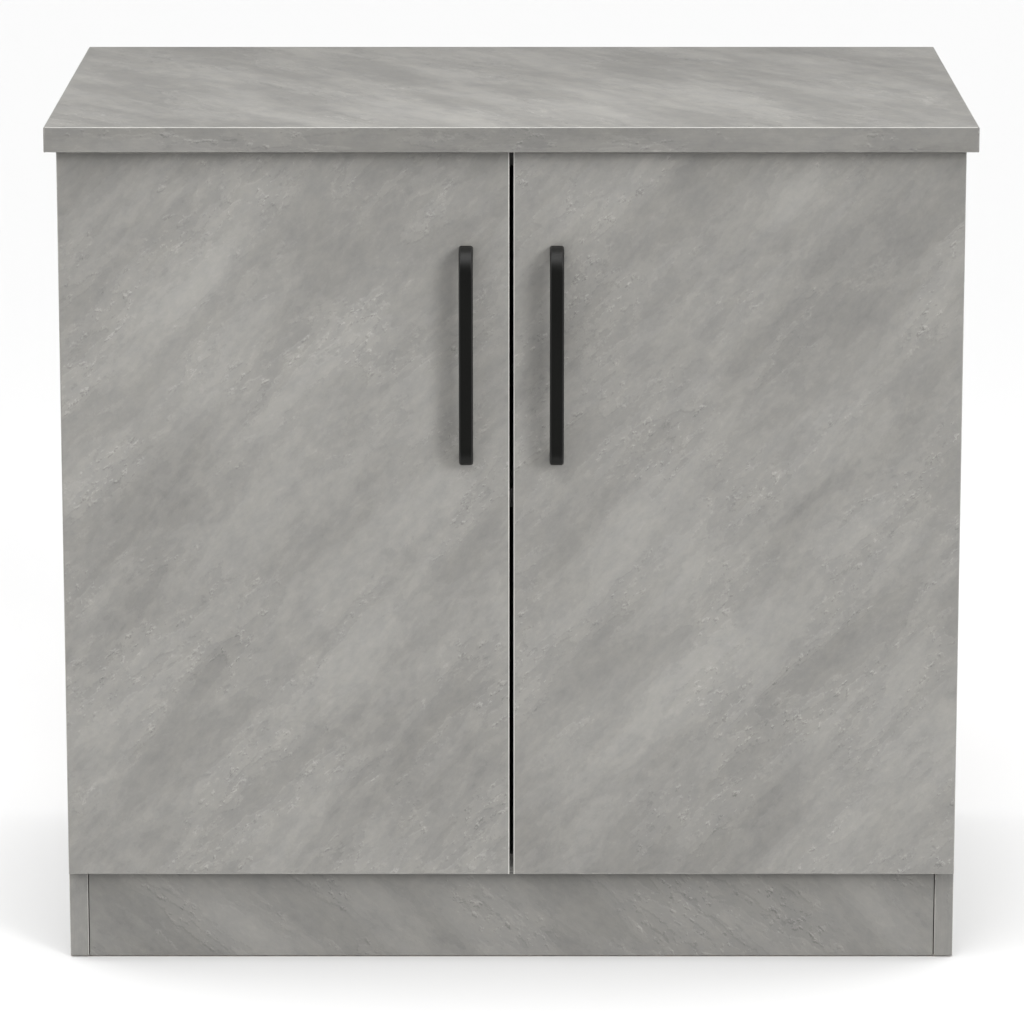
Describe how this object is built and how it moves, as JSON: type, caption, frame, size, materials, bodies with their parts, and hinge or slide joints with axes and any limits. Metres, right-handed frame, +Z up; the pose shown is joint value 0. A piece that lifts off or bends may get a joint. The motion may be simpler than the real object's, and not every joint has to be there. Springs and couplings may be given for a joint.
{
  "type": "kitchen base cabinet",
  "caption": "Floor-standing kitchen base cabinet in grey stone-effect board: overhanging worktop, paired hinged doors with black bow handles, shelf, plinth.",
  "frame": {"origin": "on the floor, in the middle of the outline, which runs from the front of the handles to the back of the worktop", "axes": "+X to the right, +Y to the back, +Z up; the doors face -Y"},
  "size_m": [0.918, 0.612, 0.86],
  "materials": {
    "stone_laminate": "matt grey concrete-effect melamine on chipboard",
    "edge_band": "grey edge band that matches the board, softly rounded",
    "hardboard": "thin brown hardboard, grey-faced on its inner side",
    "black_metal": "satin black powder coat",
    "nickel_steel": "nickel-plated pressed steel",
    "steel": "zinc-plated steel fastener",
    "zinc": "die-cast zinc",
    "beech": "fluted beech, unfinished",
    "nylon": "off-white moulded plastic",
    "clear_bumper": "soft clear bumper"
  },
  "bodies": {
    "carcass": {"worktop": "stone_laminate", "worktop_front_band": "edge_band", "worktop_left_band": "edge_band", "worktop_right_band": "edge_band", "left_side_panel": "stone_laminate", "right_side_panel": "stone_laminate", "left_side_band": "edge_band", "right_side_band": "edge_band", "bottom_panel": "stone_laminate", "bottom_panel_band": "edge_band", "front_rail": "stone_laminate", "front_rail_band": "edge_band", "rear_rail": "stone_laminate", "back_panel": "hardboard", "back_nails": "steel", "shelf": "stone_laminate", "shelf_band": "edge_band", "shelf_supports": "steel", "plinth_board": "stone_laminate", "plinth_brackets": "steel", "plinth_screws": "steel", "floor_glides": "nylon", "cam_bolts": "steel", "cam_locks": "zinc", "dowels": "beech", "worktop_screws": "steel", "left_hinge_plates": "zinc", "left_hinge_plate_screws": "steel", "left_hinge_arms": "nickel_steel", "left_hinge_arm_screws": "steel", "right_hinge_plates": "zinc", "right_hinge_plate_screws": "steel", "right_hinge_arms": "nickel_steel", "right_hinge_arm_screws": "steel"},
    "left_door": {"left_door_panel": "stone_laminate", "left_door_edge_bands": "edge_band", "left_handle": "black_metal", "left_handle_screws": "steel", "left_hinge_cups": "nickel_steel", "left_hinge_cup_screws": "steel", "left_hinge_pins": "steel", "left_door_bumpers": "clear_bumper"},
    "right_door": {"right_door_panel": "stone_laminate", "right_door_edge_bands": "edge_band", "right_handle": "black_metal", "right_handle_screws": "steel", "right_hinge_cups": "nickel_steel", "right_hinge_cup_screws": "steel", "right_hinge_pins": "steel", "right_door_bumpers": "clear_bumper"}
  },
  "joints": [
    {"name": "left_door_hinge", "type": "hinge", "parent": "carcass", "child": "left_door", "pos_m": [-0.441, -0.2666, 0.463], "axis": [0, 0, -1], "range_deg": [0, 95]},
    {"name": "right_door_hinge", "type": "hinge", "parent": "carcass", "child": "right_door", "pos_m": [0.441, -0.2666, 0.463], "axis": [0, 0, 1], "range_deg": [0, 95]}
  ]
}
